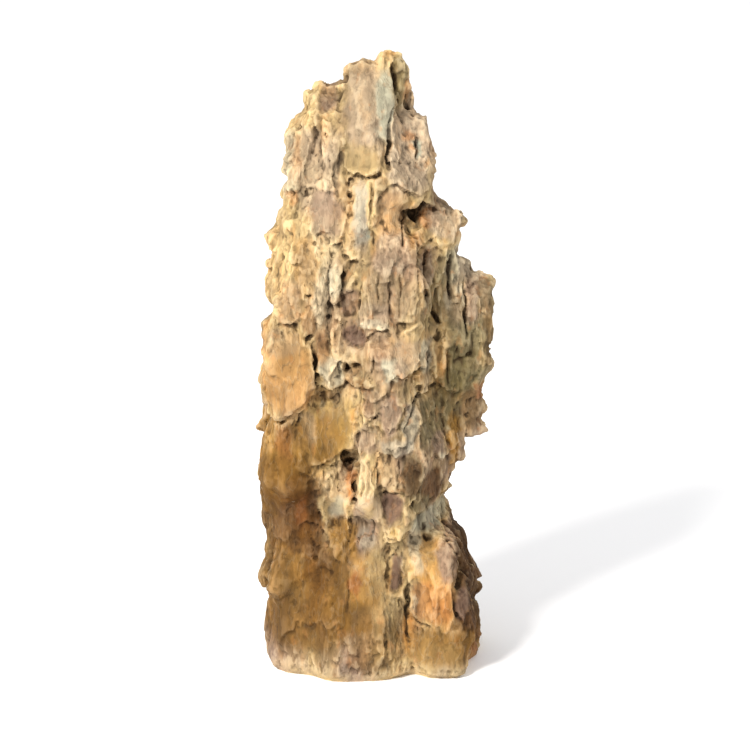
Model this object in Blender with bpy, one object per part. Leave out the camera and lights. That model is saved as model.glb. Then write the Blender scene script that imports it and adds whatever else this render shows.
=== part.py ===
"""A tall dragon stone: one upright, craggy rock, weathered into vertical plates, ledges and hollows.

Metres, +Z up. The show face looks along -Y, +X is to its right, and the origin is on the floor, under the
middle of the stone's box. The rock is one piece: a bundle of overlapping lobes, merged into one skin, then
weathered into upright overlapping scales and a few hollows, and cut flat underneath so that it stands.
"""

import math

import bmesh
import bpy
from mathutils import Vector, noise

MM = 0.001

# Mesh resolution
OUTLINE_POINTS = 20  # points round one section of a lobe
VOXEL = 5.2 * MM  # edge of the merged skin's quads
SQUARENESS = 3.2  # exponent of a section's superellipse: 2 is an ellipse, more is blockier
WOBBLE = 0.10  # how far a section strays from that superellipse, as a share of its radius

# Relief, from broad swells to the upright scales that give dragon stone its name
SWELL_SIZE = 38 * MM
SWELL_HEIGHT = 2.6 * MM
SCALE_WIDTH = 17 * MM
SCALE_HEIGHT = 38 * MM
SCALE_RISE = 6.5 * MM  # how far a scale's lower lip stands out past its upper end
SCALE_OFFSET = 3.2 * MM  # how far whole scales lie in or out of the surface
LIP_SHARE = 0.22  # the part of the way between two scales over which their step is spread
WARP_SIZE = 24 * MM
WARP = 0.35  # how far the scales' grid is bent, in scales
BEND_SHIFTS = (0, 31.4, 62.8)  # where the three noises that bend it are read, along Z in noise units
WORN = 1.6 * MM  # how much weathering has taken off everywhere
RUBBED = 0.35  # how far each vertex then moves towards its neighbours' middle, so that no fold stays sharp
FOOT_FADE = 9 * MM  # the relief dies out over this height, so that the foot's rim stays whole

# Hollows in the show face, in millimetres: across, up, half width, half height, depth
HOLLOWS = {
    "cave_under_horn": (14, 227, 11, 9, 9),
    "rear_groove": (25, 158, 6, 44, 6),
    "slit": (-18, 106, 6, 14, 6),
    "waist_recess": (0, 92, 7, 11, 4),
    "foot_groove": (1, 54, 6, 24, 5),
}
HOLLOW_FLOOR = 0.45  # the share of a hollow's half size that is at full depth

# Each lobe's sections, bottom to top, in millimetres: height, left, right, front, back
LOBES = {
    "main_slab": (
        (-8, -44, 38, -27, 27),
        (6, -52, 40, -33, 33),
        (35, -54, 38, -35, 35),
        (62, -54, 31, -34, 34),
        (84, -54, 29, -33, 33),
        (120, -54, 32, -33, 33),
        (160, -53, 34, -32, 32),
        (200, -49, 31, -30, 29),
        (235, -43, 22, -27, 24),
        (262, -39, 14, -23, 23),
        (273, -34, 9, -17, 16),
    ),
    "crown": (
        (225, -21, 12, -22, 17),
        (264, -19, 15, -20, 15),
        (284, -21, 14, -17, 13),
        (293, -19, 13, -15, 12),
        (298, -14, 12, -12, 11),
        (301, -6, 10, -9, 10),
        (304, -4, 7, -6, 8),
    ),
    "left_shoulder": (
        (190, -45, -10, -25, 16),
        (250, -44, -14, -23, 14),
        (274, -41, -16, -19, 10),
        (286, -37, -19, -14, 6),
    ),
    "left_wall": (
        (150, -55, -20, -22, 24),
        (215, -53, -24, -22, 21),
        (228, -49, -26, -20, 19),
        (252, -51, -28, -18, 17),
        (264, -49, -31, -12, 11),
    ),
    "left_plate": (
        (86, -57, -24, -34, 4),
        (100, -61, -24, -38, 8),
        (150, -61, -25, -38, 10),
        (190, -57, -27, -35, 9),
        (214, -55, -28, -31, 7),
        (223, -51, -32, -24, 2),
    ),
    "left_foot": (
        (-8, -50, -18, -25, 18),
        (5, -57, -16, -33, 24),
        (40, -59, -18, -35, 22),
        (78, -58, -22, -32, 16),
        (95, -54, -26, -25, 8),
    ),
    "right_horn": (
        (175, 2, 26, -19, 16),
        (232, 6, 25, -19, 13),
        (258, 10, 25, -15, 10),
        (271, 17, 26, -11, 6),
    ),
    "right_ledge": (
        (140, 8, 38, -14, 24),
        (204, 12, 35, -15, 22),
        (219, 15, 43, -13, 18),
        (228, 18, 37, -9, 12),
    ),
    "right_lobe": (
        (128, 20, 46, -9, 27),
        (138, 20, 51, -13, 29),
        (160, 22, 55, -14, 29),
        (184, 24, 56, -12, 26),
        (193, 26, 52, -7, 20),
        (200, 28, 44, -3, 14),
    ),
    "right_knob": (
        (110, 14, 50, -6, 20),
        (114, 14, 54, -9, 22),
        (125, 14, 53, -10, 22),
        (133, 14, 46, -7, 18),
    ),
    "waist_ledge": (
        (80, 4, 27, -22, 24),
        (92, 6, 37, -20, 25),
        (108, 6, 37, -19, 25),
        (118, 8, 36, -15, 22),
    ),
    "front_column": (
        (36, -18, 18, -39, 0),
        (90, -20, 21, -42, 0),
        (140, -22, 24, -42, 0),
        (190, -20, 22, -38, 0),
        (222, -16, 18, -34, 0),
        (240, -12, 12, -28, 0),
    ),
    "front_blade": (
        (186, -18, 10, -35, 0),
        (240, -17, 9, -31, 0),
        (270, -15, 8, -25, 0),
        (282, -11, 6, -19, 0),
    ),
    "foot_front": (
        (-8, -30, 6, -35, 0),
        (5, -37, 12, -44, 0),
        (30, -36, 13, -47, 0),
        (60, -32, 10, -44, 0),
        (76, -25, 4, -37, 0),
    ),
    "foot_right": (
        (-8, 18, 36, -32, -2),
        (5, 15, 44, -41, 0),
        (30, 15, 46, -43, 2),
        (58, 17, 41, -38, 0),
        (72, 20, 34, -29, -4),
    ),
    "foot_right_rear": (
        (-8, 16, 44, -8, 26),
        (6, 16, 53, -15, 33),
        (26, 16, 51, -15, 33),
        (50, 14, 45, -11, 29),
        (68, 12, 38, -7, 25),
        (88, 8, 31, -2, 20),
    ),
    "rear_slab": (
        (-8, -36, 22, 0, 34),
        (6, -43, 28, 0, 41),
        (90, -41, 26, 0, 42),
        (150, -37, 28, 0, 41),
        (212, -35, 18, 0, 39),
        (220, -31, 14, 0, 33),
        (252, -24, 9, 0, 24),
        (262, -19, 5, 0, 17),
    ),
    "rear_spur": (
        (-8, -24, 6, 16, 38),
        (6, -29, 9, 16, 47),
        (60, -26, 6, 16, 46),
        (112, -19, 2, 16, 43),
        (136, -15, -3, 16, 36),
    ),
}


def clear_scene():
    for obj in list(bpy.data.objects):
        bpy.data.objects.remove(obj)


def signed_power(value, exponent):
    return math.copysign(abs(value) ** exponent, value)


def section_points(section, seed):
    """The points round one section: a superellipse between its four sides, pushed in and out a little."""
    height, left, right, front, back = section
    middle = Vector(((left + right) / 2, (front + back) / 2, height))
    points = []
    for step in range(OUTLINE_POINTS):
        angle = 2 * math.pi * step / OUTLINE_POINTS
        across = signed_power(math.cos(angle), 2 / SQUARENESS) * (right - left) / 2
        along = signed_power(math.sin(angle), 2 / SQUARENESS) * (back - front) / 2
        lean = noise.noise((2 * math.cos(angle) + seed, 2 * math.sin(angle), height / 25))
        reach = 1 + WOBBLE * lean
        points.append((middle + Vector((across, along, 0)) * reach) * MM)
    return points


def add_lobe(bm, sections, seed):
    """One closed lobe, skinned over its sections."""
    rings = [[bm.verts.new(point) for point in section_points(s, seed)] for s in sections]
    for lower, upper in zip(rings, rings[1:]):
        for step in range(OUTLINE_POINTS):
            after = (step + 1) % OUTLINE_POINTS
            bm.faces.new((lower[step], lower[after], upper[after], upper[step]))
    bm.faces.new(reversed(rings[0]))
    bm.faces.new(rings[-1])


def lobes_mesh():
    bm = bmesh.new()
    for number, sections in enumerate(LOBES.values()):
        add_lobe(bm, sections, seed=7.3 * number)
    mesh = bpy.data.meshes.new("lobes")
    bm.to_mesh(mesh)
    bm.free()
    return mesh


def merged(mesh):
    """The lobes as one skin of even quads, which a voxel Remesh makes from their union."""
    holder = bpy.data.objects.new("lobes", mesh)
    bpy.context.scene.collection.objects.link(holder)
    remesh = holder.modifiers.new("merge", "REMESH")
    remesh.mode = "VOXEL"
    remesh.voxel_size = VOXEL
    graph = bpy.context.evaluated_depsgraph_get()
    skin = bpy.data.meshes.new_from_object(holder.evaluated_get(graph))
    bpy.data.objects.remove(holder)
    return skin


def smoothstep(low, high, value):
    share = min(1.0, max(0.0, (value - low) / (high - low)))
    return share * share * (3 - 2 * share)


def bend(point):
    """A smooth vector that varies from place to place: three noises, read far apart."""
    return Vector([noise.noise(point + Vector((0, 0, shift))) for shift in BEND_SHIFTS])


def scale_level(cell, centre):
    """How far out one scale lies at a point of the scales' grid: it leans out towards its lower end."""
    lean = min(0.5, max(-0.5, centre.z - cell.z))
    return SCALE_RISE * lean + SCALE_OFFSET * noise.noise(centre * 5.3)


def relief(point):
    """How far the weathered surface stands out from the merged lobes at a point, in metres."""
    swell = noise.noise(point / SWELL_SIZE) * SWELL_HEIGHT
    cell = Vector((point.x / SCALE_WIDTH, point.y / SCALE_WIDTH, point.z / SCALE_HEIGHT))
    cell += bend(point / WARP_SIZE) * WARP
    distances, centres = noise.voronoi(cell)
    own, other = scale_level(cell, centres[0]), scale_level(cell, centres[1])
    inside = 0.5 + 0.5 * smoothstep(0, LIP_SHARE, distances[1] - distances[0])
    scale = own * inside + other * (1 - inside)
    return (swell + scale - WORN) * smoothstep(0, FOOT_FADE, point.z)


def hollow_depth(point):
    """How deep the deepest of the show face's hollows is at a point, in metres."""
    if point.y > 0:
        return 0.0
    deepest = 0.0
    for across, up, half_width, half_height, depth in HOLLOWS.values():
        reach = math.hypot((point.x / MM - across) / half_width, (point.z / MM - up) / half_height)
        deepest = max(deepest, depth * MM * (1 - smoothstep(HOLLOW_FLOOR, 1, reach)))
    return deepest


def weather(bm):
    """Moves each vertex along its normal by the relief, sinks the hollows, then rubs the folds."""
    bm.normal_update()
    inwards = Vector((0, 1, 0))
    moves = [vert.normal * relief(vert.co) + inwards * hollow_depth(vert.co) for vert in bm.verts]
    for vert, move in zip(bm.verts, moves):
        vert.co += move
    all_axes = {"use_axis_x": True, "use_axis_y": True, "use_axis_z": True}
    bmesh.ops.smooth_vert(bm, verts=bm.verts[:], factor=RUBBED, **all_axes)


def cut_flat(bm):
    """Cuts the foot off flat on the floor and closes the cut with one face."""
    geometry = bm.verts[:] + bm.edges[:] + bm.faces[:]
    cut = bmesh.ops.bisect_plane(
        bm, geom=geometry, dist=1e-6, plane_co=(0, 0, 0), plane_no=(0, 0, 1), clear_inner=True
    )
    rim = [item for item in cut["geom_cut"] if isinstance(item, bmesh.types.BMEdge)]
    bmesh.ops.contextual_create(bm, geom=rim)


def centre(bm):
    """Moves the stone sideways so that the middle of its box stands over the origin."""
    for axis in (0, 1):
        places = [vert.co[axis] for vert in bm.verts]
        middle = (min(places) + max(places)) / 2
        for vert in bm.verts:
            vert.co[axis] -= middle


def stone_material():
    material = bpy.data.materials.new("dragon_stone")
    material.use_nodes = True
    shader = material.node_tree.nodes["Principled BSDF"]
    shader.inputs["Base Color"].default_value = (0.40, 0.27, 0.15, 1)
    shader.inputs["Roughness"].default_value = 0.85
    shader.inputs["Metallic"].default_value = 0.0
    return material


def build_stone():
    skin = merged(lobes_mesh())
    bm = bmesh.new()
    bm.from_mesh(skin)
    weather(bm)
    cut_flat(bm)
    centre(bm)
    bmesh.ops.triangulate(bm, faces=bm.faces[:])
    bm.to_mesh(skin)
    bm.free()
    skin.name = "stone"
    skin.shade_smooth()
    skin.materials.clear()
    skin.materials.append(stone_material())
    stone = bpy.data.objects.new("stone", skin)
    bpy.context.scene.collection.objects.link(stone)


clear_scene()
build_stone()
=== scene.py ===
"""The looks of the dragon stone: its weathered surface, its colours, and a plain pale studio round it.

Everything is in metres, in the CAD's frame: +Z up, the show face towards -Y, the floor at z = 0.
"""

import itertools
import math

import bmesh
import bpy
import numpy as np
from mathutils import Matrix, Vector, kdtree, noise


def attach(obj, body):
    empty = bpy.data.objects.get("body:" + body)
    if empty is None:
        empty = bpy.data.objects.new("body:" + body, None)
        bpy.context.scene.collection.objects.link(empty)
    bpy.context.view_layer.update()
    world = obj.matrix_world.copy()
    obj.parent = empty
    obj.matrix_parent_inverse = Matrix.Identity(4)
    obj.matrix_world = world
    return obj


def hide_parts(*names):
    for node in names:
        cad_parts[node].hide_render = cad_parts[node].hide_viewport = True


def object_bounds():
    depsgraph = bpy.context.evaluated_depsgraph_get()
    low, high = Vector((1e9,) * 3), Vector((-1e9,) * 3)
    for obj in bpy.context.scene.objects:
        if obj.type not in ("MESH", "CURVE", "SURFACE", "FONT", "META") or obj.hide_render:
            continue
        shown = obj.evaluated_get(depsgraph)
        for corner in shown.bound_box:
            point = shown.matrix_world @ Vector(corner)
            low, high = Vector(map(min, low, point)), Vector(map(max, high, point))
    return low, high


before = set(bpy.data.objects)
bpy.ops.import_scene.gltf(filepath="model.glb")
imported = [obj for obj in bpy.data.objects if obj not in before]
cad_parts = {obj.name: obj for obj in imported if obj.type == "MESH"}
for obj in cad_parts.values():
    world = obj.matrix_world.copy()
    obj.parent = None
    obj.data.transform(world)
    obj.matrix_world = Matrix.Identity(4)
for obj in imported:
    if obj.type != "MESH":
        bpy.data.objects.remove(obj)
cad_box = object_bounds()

MM = 0.001

# Camera: it stands where the photograph was taken
VIEW_DOWN = math.radians(18)  # how far below the horizontal the photograph looks
FRAME_PX = 750
PHOTO_LENS_PX = 1562  # the photograph's focal length
PX_PER_M = 1050  # the photograph's scale at the stone's foot
FOOT_PX = (415.25, 441.6)  # where the photograph shows the origin
CLOSER = 1.9  # the render's focal length over the photograph's
LOOK_AT = Vector((0, 0, 0.143))
SENSOR_MM = 36.0

# Studio
FLOOR_HALF = 12
FLOOR_COLOUR = (0.92, 0.92, 0.93, 1)
FLOOR_ROUGHNESS = 0.6
SKY_COLOUR = (1, 1, 1, 1)
KEY_LIGHT = {"place": (-1.25, -1.65, 1.7), "size": 0.6, "power": 94, "colour": (1.0, 0.97, 0.92)}

# Meshes
ROUGH_VOXEL = 0.95 * MM
FINE_VOXEL = 0.72 * MM
MOST_TRIANGLES = 196000  # of the finished surface
SHARP = math.radians(45)  # edges that fold by more than this look sharp
BASE_ROUNDS = 6  # rounds of smoothing that take the CAD solid's facets away
BOX_MARGIN = 1.5 * MM  # how far past the sides of the CAD's box the surface may reach
FOOT_FADE = 4 * MM  # the relief dies out over this height above the foot
FOOT_FLAT = 0.8 * MM  # what is lower than this lies flat on the floor

# Procedural relief, all round the stone
# Scales: their width and height, how far each leans out to its lower lip, how far it lies in or out as a
# whole, how far it tips sideways, and a salt that makes their scatter their own
BROAD_SCALES = (14 * MM, 38 * MM, 1.8 * MM, 1.2 * MM, 2.8 * MM, 1)
MEDIUM_SCALES = (6.5 * MM, 20 * MM, 0.8 * MM, 0.5 * MM, 1.5 * MM, 2)
SMALL_SCALES = (2.9 * MM, 12 * MM, 0.2 * MM, 0.16 * MM, 0.6 * MM, 3)
WORN = 0.5 * MM  # taken off everywhere, so that the crests lie about where the CAD's surface does
STEP = 0.5 * MM  # half the width of the step from one plate to the next
RIM = 1.6 * MM  # how wide the bead above a step is, and the undercut below it
BEAD = 0.12  # the bead's height and the undercut's depth, as shares of the step
UNDERCUT = 0.5
MOST_RISE = 2.4 * MM  # the step that gives the deepest of them
SOFT_STEP = 3.0 * MM  # half the width of the slope where a plate grows out of the surface above it
# How the scales' borders stray, in bends and raggedly: how far in scale sizes, the grain in scale widths,
# how far that is drawn out upwards, and the seed's factors for the salt and the axis
STRAYS = ((0.5, 1.2, 1.6, 17, 5), (0.12, 0.3, 1.3, 23, 7))
JITTER = 0.8  # how far a scale's middle strays from its cell's, as a share of the cell
LEAN_SPREAD = 1.6  # how much one scale leans more or less than another
DROOP = 0.3  # how far what stands out also hangs down
# Noises: the grain's size, how far it is drawn out upwards, and a seed
RIBS = (3.4 * MM, 5.0, 11.0)
RIB_HEIGHT = 0.3 * MM
RIB_SHARPNESS = 5.0
GRAIN = (1.9 * MM, 1.5, 5.0)
GRAIN_HEIGHT = 0.1 * MM
CALM = (22 * MM, 1.8, 31.0)  # smoother places away from the show face
CALM_STARTS = (-0.05, 0.15)  # the noise's values between which they go from rough to smoothest
MOST_CALM = 0.6  # how much of the relief they lose
FORWARDS = 0.5  # how much the show face's features move straight forwards, and not along the normal
SHOW_FACE_SHARE = 0.5  # how much of the procedural relief the show face keeps

# How far round the stone the show face reaches: the normal's Y where its share is 0, and where it is 1
RELIEF_SHOWS = (0.0, -0.35)
PAINT_SHOWS = (0.25, -0.15)

# Random numbers: what mixes a cell's numbers up, and what keeps a scale's properties apart
HASH_PRIMES = (73856093, 19349663, 83492791)
SALT_PRIME = 7919
HASH_MIXER = 0x45D9F3B
OFFSET_SALT, TIP_SALT, TIP_BACK_SALT, TONE_SALT, LEAN_SALT = range(40, 45)
TINY = 1e-9  # keeps a length that is divided by from being 0

# How features fade: their weight goes from 1 to 0 between these shares of their half size
PIT_EDGE = (0.45, 1.1)
CALM_EDGE = (0.75, 1.15)
PATCH_EDGE = (0.7, 1.15)
SOFT_TOP = (0.3, 0.9)  # where a plate's border goes from hard to soft towards its top
END_SHARE = 0.3  # what is left of a lip or crease at its ends
END_LENGTH = 3.0  # over how many millimetres it would rise from nothing to all there
LIP_SPREAD = 2.0  # how wide a lip's ridge is, over its undercut
UNDERCUT_ROUNDING = 0.7  # exponents of the lips' undercuts' and the plates' rims' profiles
RIM_ROUNDING = 1.5
TONE_WAVES = (41, 17)  # a plate's tone is a sine of its place, with these factors
OWN_TONE_SHARE = 0.5  # how much of a plate's lightness is its own, and not the procedural scales'
BROAD_TONE_SHARE = 0.4  # how much of theirs is the broad scales'

# How outlines wander on the show face: millimetres, the grain's size, and what is added to the seed; then
# the two axes with their seeds, and how much of it each layer takes
WANDERS = ((1.6, 6 * MM, 0), (0.4, 2.2 * MM, 20))
WANDER_SEEDS = ((0, 3.1), (2, 8.7))
PLATE_WANDER = 1.0
CREASE_WANDER = 0.6
PATCH_WANDER = 1.6

# Relief for the material: the rounds of blurring, each on top of the last, that give the surface it is
# measured from, and the height that counts as 1
# The material paints highlight where the surface stands out from these and shade where it lies in
RELIEF_BANDS = {"fine_relief": (3, 0.12 * MM), "near_relief": (9, 0.6 * MM), "wide_relief": (80, 2.0 * MM)}

# The show face, in millimetres across, from this far right of the origin, and up
FACE_MIDDLE = 0.7
# Plates, laid over one another in this order, each with a tone that follows from its place: across, up,
# half width, half height, how far out the middle lies, how far out it leans below, turn in degrees
PLATES = {
    "crown_rear": (12, 286, 4, 15, -2),
    "crown_notch": (-22.5, 281, 5, 8, -1.2, 0.6),
    "shoulder": (-32, 276, 4, 12, 0.8, 0.6, 4),
    "shoulder_middle": (-21, 270, 5, 9, 0.4, 0.8),
    "crown_face": (-8, 275, 9, 24, 1, 0.6),
    "crown_rib": (3.4, 280.1, 4.6, 17, 2, 0, 4),
    "upper_left_edge": (-40, 252, 4, 12, 0.8, 1),
    "upper_left": (-31, 252, 5.5, 12, 0.2, 1.2),
    "upper_middle": (-20.5, 252, 5, 13, 0.6, 1),
    "horn": (13, 256, 8, 13, 0.4, 1.8),
    "horn_spike": (21.5, 261, 2.2, 11, 1),
    "horn_lobe": (17, 245, 9, 7, 1, 1),
    "pillar_hollow": (-9, 238.1, 6.2, 10, -1),
    "pillar": (-7.6, 231, 4.2, 16.5, 0.6, -0.6),
    "arch_knob": (3.5, 246, 5, 4.5, 1.4, 0.6),
    "apron": (-7.5, 256, 9, 9, 1.9, 1.5),
    "arch_bay": (6.5, 231, 6.5, 11, -0.6, -0.8),
    "brown_panel": (-26, 230, 6.5, 10, 0.2, 1.2),
    "slot_panel": (-17, 226, 3.5, 14, -0.6, 0.5),
    "gold_upper": (-39, 214, 4, 8, 1, 0.8),
    "gold_column": (-33, 203, 4.2, 15, 0.6, 1),
    "gold_edge": (-26, 200, 3.4, 14, 1, 1),
    "pale_column": (-20.5, 196, 2.8, 9, 2.2, 0.6),
    "middle_knob": (-12, 213, 4, 5, 1.2, 0.8),
    "tan_panel": (4, 205, 8, 7, 0.4, 0.6),
    "right_stub": (15.5, 215, 2.6, 5, 0.2, 0.4),
    "mauve_panel": (-14.5, 185.5, 4.8, 5.5, -1.6, 0, -25),
    "cream_ledge": (-2, 179, 7, 3.4, 0.8, 1.4, 4),
    "mid_right": (12, 189, 6, 11, 0.6, 1.5),
    "flank_recess": (25, 186, 5, 12, -1.6, 0, 8),
    "flank_curl": (23.5, 203, 4, 10, 0.6),
    "pink_panel": (-42, 188, 5, 10, 1, 1.6),
    "left_rim": (-47.5, 189, 2.4, 8, 0, 1.2),
    "gold_low_column": (-34, 181, 3.2, 9, 1.2, 0.6),
    "gold_low_edge": (-27.5, 184, 2.6, 8, 1, 0.5),
    "ledge_recess": (-11.5, 171.5, 5.5, 3.8, -2),
    "ledge_bulge": (0, 167, 5.5, 6.5, 0.8, 0.8),
    "golden_plate": (-43, 151, 13, 18, 2.2, 0.6),
    "golden_plate_tail": (-50, 139, 6, 8, 1.4, 0.8),
    "red_recess": (-27, 163, 3.5, 9, -1.4),
    "pale_knobs": (-22, 152, 4.6, 7, 1.4, 1.2, 10),
    "tan_strip": (-20, 170, 2.6, 9, 0.8, 0.6),
    "knob_pits": (-12.5, 157, 4, 4, -2.6),
    "ring_knob": (-6, 157, 3.4, 5, 0.8, 0.4),
    "short_ledge": (-9, 150.5, 7, 2.8, 1.6, 1),
    "olive_wedge": (5.5, 158, 3, 8, 0.8, 0.8, 22),
    "right_panel": (14, 163, 6, 10, 0.4, 1.8),
    "cream_rib": (22.3, 158, 1.8, 9, 2, 0.4, -6),
    "pale_rib": (27, 160, 1.6, 8, 0.8, 0.2),
    "brown_knob": (24, 147, 4, 5.5, 1.8, 1.6, -15),
    "under_ledge": (-6, 140, 6.5, 7, -0.8, 1.4),
    "mauve_band": (-26, 140, 8, 5, -2),
    "yellow_plate": (-24, 122, 13, 14, 1.4, 1.4),
    "yellow_plate_lobe": (-36, 120, 5, 14, 0.6, 1),
    "centre_panel": (5, 134, 4.4, 10, 0.4, 0.4),
    "crack_panel": (-5, 121, 4.6, 8, 0.3, 0.6),
    "tan_knot": (12, 144, 4.5, 6, 0.2, 1.2),
    "grey_bulge": (16, 128, 3.6, 12, 1.8, 1, -22),
    "grey_foot": (8, 118, 9, 4, 0.8, 1, 6),
    "mossy_panel": (24, 125, 3.6, 12, -0.8, 0.6, 4),
    "olive_edge": (33, 133, 5, 12, -1.4, 0.6),
    "mustard_rib": (36.5, 112, 2, 10, 1.6, 0.6),
    "pale_tooth": (31, 114, 3, 6, 1.4, 1.6),
    "ribs_left": (-2, 105, 3.4, 9, 0.8, 0.4),
    "ribs_right": (5.5, 104, 4.6, 9, 0.8, 1.6),
    "dark_flank": (15.5, 100, 4, 13, -2.2),
    "hole": (-12.5, 110, 4.2, 2.8, -5),
    "slit": (-11.2, 96, 1.3, 8, -4.5, 0, -5),
    "orange_strip": (-13.8, 95.5, 1.5, 3.6, -0.2, 0.2),
    "cream_shard": (-21, 104, 2.3, 9, 1.2, 0.4, -38),
    "cream_knob": (-4.65, 87, 6.8, 8, 1.2, -1.2),
    "cream_hood": (-5.4, 94, 3.4, 4.5, 1.9, -0.4),
    "cream_neck": (-6.65, 104, 1.9, 8, 1, -0.6),
    "speckled_panel": (-6, 74, 5.4, 6, 0.2, -0.2),
    "gold_strip": (-14, 86, 1.9, 5.5, 0.8, 0.2),
    "grey_panel": (-20.5, 87, 4.4, 6.5, 0.2, 0.4),
    "orange_spur": (-26.4, 85, 2.2, 8, 1, 0.6, 18),
    "brown_patch": (-30, 98, 4.5, 7, -1.2),
    "rust_flank": (-45, 105, 6, 24, -0.4, 0.8),
    "rust_flank_low": (-36, 80, 8, 13, -1, 0.8),
    "waist_recess": (7, 87, 5.2, 8, -2.2),
    "waist_grey": (18, 88, 3.4, 8, 0.2, 0.6),
    "waist_dark": (26, 90, 4, 9, -1.6),
    "pale_crest": (25, 75, 9, 6, 0.6, 1.4, -6),
    "mustard_foot": (-18, 70, 5, 9, 0.6, 0.8),
    "foot_bulge": (-6, 37, 10, 31, 0.8, 0.4),
    "yellow_ledge": (7, 74.5, 4.6, 4.2, 1.4, 1.2),
    "mauve_recess": (8, 53, 3.2, 10.5, -2.4, 0, 6),
    "foot_plate": (26, 46, 11.5, 23, 1.6, -0.4),
    "foot_inner": (7.5, 28, 4.6, 14, 0.6, 0.4),
    "foot_rear_knob": (40.5, 38, 3.2, 9, 0.6, 0.4, 8),
    "foot_base": (31, 15, 16, 10, 0.6, 0.2),
}

# Smoother faces: across, up, half width, half height, how much of the finer relief they lose
CALM_FACES = {
    "crown_face": (-8, 276, 8, 20, 0.5),
    "crown_rib": (3.4, 280, 4.6, 16, 0.7),
    "apron": (-7.5, 255, 8, 6, 0.8),
    "pillar": (-7.6, 230, 3.6, 14, 0.5),
    "brown_panel": (-26, 230, 6, 9, 0.5),
    "arch_bay": (6.5, 232, 5, 8, 0.6),
    "golden_plate": (-43, 151, 12, 17, 0.7),
    "right_panel": (14, 163, 5, 8, 0.6),
    "yellow_plate": (-24, 123, 12, 13, 0.6),
    "left_wall": (-46, 96, 13, 26, 0.6),
    "knob": (-4.6, 87, 6, 7, 0.7),
    "grey_panel": (-21, 87, 5, 7, 0.7),
    "waist_recess": (7, 87, 5, 8, 0.6),
    "mauve_recess": (8, 53, 3, 10, 0.6),
    "foot_bulge": (-9, 46, 13, 22, 0.7),
    "foot_plate": (26, 47, 11, 21, 0.5),
    "foot_base": (31, 14, 16, 10, 0.5),
    "left_foot": (-38, 38, 16, 26, 0.5),
}

# Pulls that give the outline its steps, where the camera sees them against the upright plane y = 0:
# across, up, radius, how far rightwards, how far up
PULLS = {
    "shoulder_corner": (-38, 277, 7, 2.5, -3),
    "shoulder_top": (-31, 286, 5, 0, -3),
    "stair_tread": (-23, 289, 6, 0, -4.5),
    "stair_riser": (-18.5, 291, 5, 4.5, -5.5),
    "stair_inner": (-20.5, 289, 5, 7, -2.5),
    "crown_corner": (-14, 296, 4, 0, 2),
    "crown_slope": (-2, 301, 6, 0, -4.5),
    "crown_back": (15.5, 281, 7, 2, 0),
    "horn_middle": (20, 267, 4, 0, 3),
    "horn_tip": (24, 266, 6, 0.5, 3.5),
    "left_nick": (-46, 241, 5, 5, 0),
    "left_dent": (-50, 231.5, 7, 7.5, 0),
    "left_spur": (-51, 214, 7, -5, 0),
    "left_step": (-54, 204, 5, 7.5, 0),
    "left_side": (-55, 196, 5, 2.5, 0),
    "left_bay": (-57, 177, 9, 7, 0),
    "left_rim": (-59, 167, 5, 3, 0),
    "left_bulge": (-57, 155, 5, -1.5, 0),
    "left_low": (-59, 128, 18, 3, 0),
    "ledge_top": (38, 228.5, 7, -1.5, -5),
    "ledge_tip": (46, 217.5, 5, -6, 0),
    "ledge_root": (43, 204.5, 5, -6, 0),
    "lobe_top": (50, 198, 5, -6.5, -2),
    "lobe_corner": (55, 190, 7, 4.5, 0),
    "lobe_belly": (54, 148, 7, 4, 0),
    "lobe_nick": (54, 135, 6, -2.5, 0),
    "lobe_low": (56, 121, 7, -5, 0),
    "lobe_point": (56, 117.5, 4, -3, 0),
    "lobe_underside": (50, 112.5, 3.5, 1.5, 0),
    "lobe_foot": (47, 110, 5, -5.5, 0),
    "lobe_heel": (46, 105, 5, -5, 0),
    "waist_top": (43.5, 96.5, 6, -3.5, 0),
    "waist_bay": (42, 89.5, 8, -9.5, 0),
    "flank_top": (42, 70, 7, -3, 0),
    "flank": (50, 56, 9, -2.5, 0),
    "flank_bump": (54, 28, 7, -5, 0),
    "left_foot_bump": (-58, 37, 6, 2.5, 0),
}

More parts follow.
